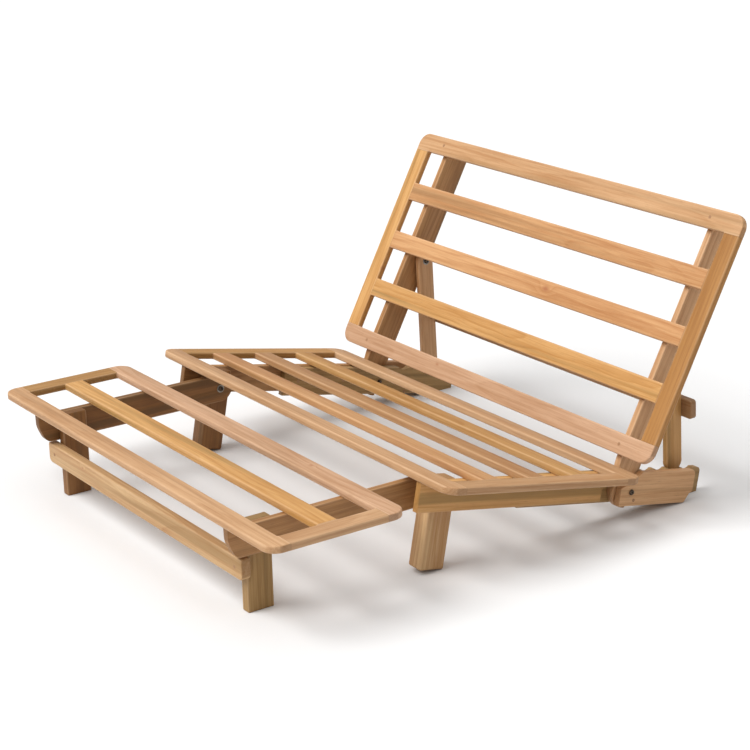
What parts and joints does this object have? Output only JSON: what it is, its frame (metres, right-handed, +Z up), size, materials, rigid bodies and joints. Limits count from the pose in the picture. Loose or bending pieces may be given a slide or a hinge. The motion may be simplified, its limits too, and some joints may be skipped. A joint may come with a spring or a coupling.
{
  "type": "tri-fold futon lounger frame",
  "caption": "Slatted wooden tri-fold futon lounger frame with a level footrest, a tilted seat and a back held by props in scalloped rails.",
  "frame": {"origin": "on the floor under the middle of the bounding box", "axes": "X across the width, -Y towards the footrest, +Y towards the back, +Z up"},
  "size_m": [1.372, 1.497, 0.77],
  "materials": {
    "poplar_tan": "satin, unstained",
    "poplar_golden": "satin, unstained",
    "poplar_brown": "satin, unstained",
    "plug_wood": "satin",
    "bronzed_steel": "dark bronze plated, satin",
    "zinc_steel": "zinc plated, satin"
  },
  "bodies": {
    "seat_base": {"seat_front_rail": "poplar_tan", "seat_back_rail": "poplar_tan", "seat_left_rail": "poplar_golden", "seat_right_rail": "poplar_tan", "seat_slat_1": "poplar_tan", "seat_slat_2": "poplar_tan", "seat_slat_3": "poplar_golden", "seat_left_beam": "poplar_brown", "seat_right_beam": "poplar_brown", "seat_left_leg": "poplar_brown", "seat_right_leg": "poplar_brown", "left_track_rail": "poplar_brown", "right_track_rail": "poplar_brown", "left_cheek": "poplar_tan", "right_cheek": "poplar_tan", "left_packer": "poplar_brown", "right_packer": "poplar_brown", "footrest_pivot_bolts": "bronzed_steel", "footrest_pivot_washers": "zinc_steel", "back_pivot_bolts": "bronzed_steel", "back_pivot_washers": "zinc_steel", "back_pivot_nuts": "bronzed_steel", "cheek_plugs": "plug_wood", "seat_leg_screws": "zinc_steel", "seat_leg_plugs": "plug_wood", "track_rail_screws": "zinc_steel", "track_rail_plugs": "plug_wood"},
    "footrest": {"footrest_front_rail": "poplar_tan", "footrest_back_rail": "poplar_golden", "footrest_left_rail": "poplar_tan", "footrest_right_rail": "poplar_tan", "footrest_slat": "poplar_golden", "footrest_left_beam": "poplar_brown", "footrest_right_beam": "poplar_brown", "footrest_left_leg": "poplar_tan", "footrest_right_leg": "poplar_tan", "footrest_stretcher": "poplar_tan", "footrest_leg_screws": "zinc_steel", "footrest_leg_plugs": "plug_wood", "stretcher_plugs": "plug_wood"},
    "back": {"back_bottom_rail": "poplar_tan", "back_top_rail": "poplar_tan", "back_left_stile": "poplar_golden", "back_right_stile": "poplar_tan", "back_slat_1": "poplar_tan", "back_slat_2": "poplar_tan", "back_slat_3": "poplar_golden", "back_left_beam": "poplar_brown", "back_right_beam": "poplar_brown", "prop_pivot_bolts": "bronzed_steel", "prop_pivot_washers": "zinc_steel", "prop_pivot_nuts": "bronzed_steel", "back_plugs": "plug_wood"},
    "props": {"left_prop": "poplar_brown", "right_prop": "poplar_brown", "prop_cross_bar": "poplar_brown", "prop_bar_screws": "zinc_steel", "prop_bar_plugs": "plug_wood"}
  },
  "joints": [
    {"name": "footrest_lift", "type": "hinge", "parent": "seat_base", "child": "footrest", "pos_m": [0, -0.19102, 0.1915], "axis": [-1, 0, 0], "range_deg": [0, 14]},
    {"name": "back_raise", "type": "hinge", "parent": "seat_base", "child": "back", "pos_m": [0, 0.38594, 0.07548], "axis": [1, 0, 0], "range_deg": [0, 11]},
    {"name": "prop_swing", "type": "hinge", "parent": "back", "child": "props", "pos_m": [0, 0.5637, 0.41906], "axis": [1, 0, 0], "range_deg": [-2.4, 0]}
  ],
  "couplings": [
    {"joint": "prop_swing", "follows": "back_raise", "ratio": -0.2}
  ]
}
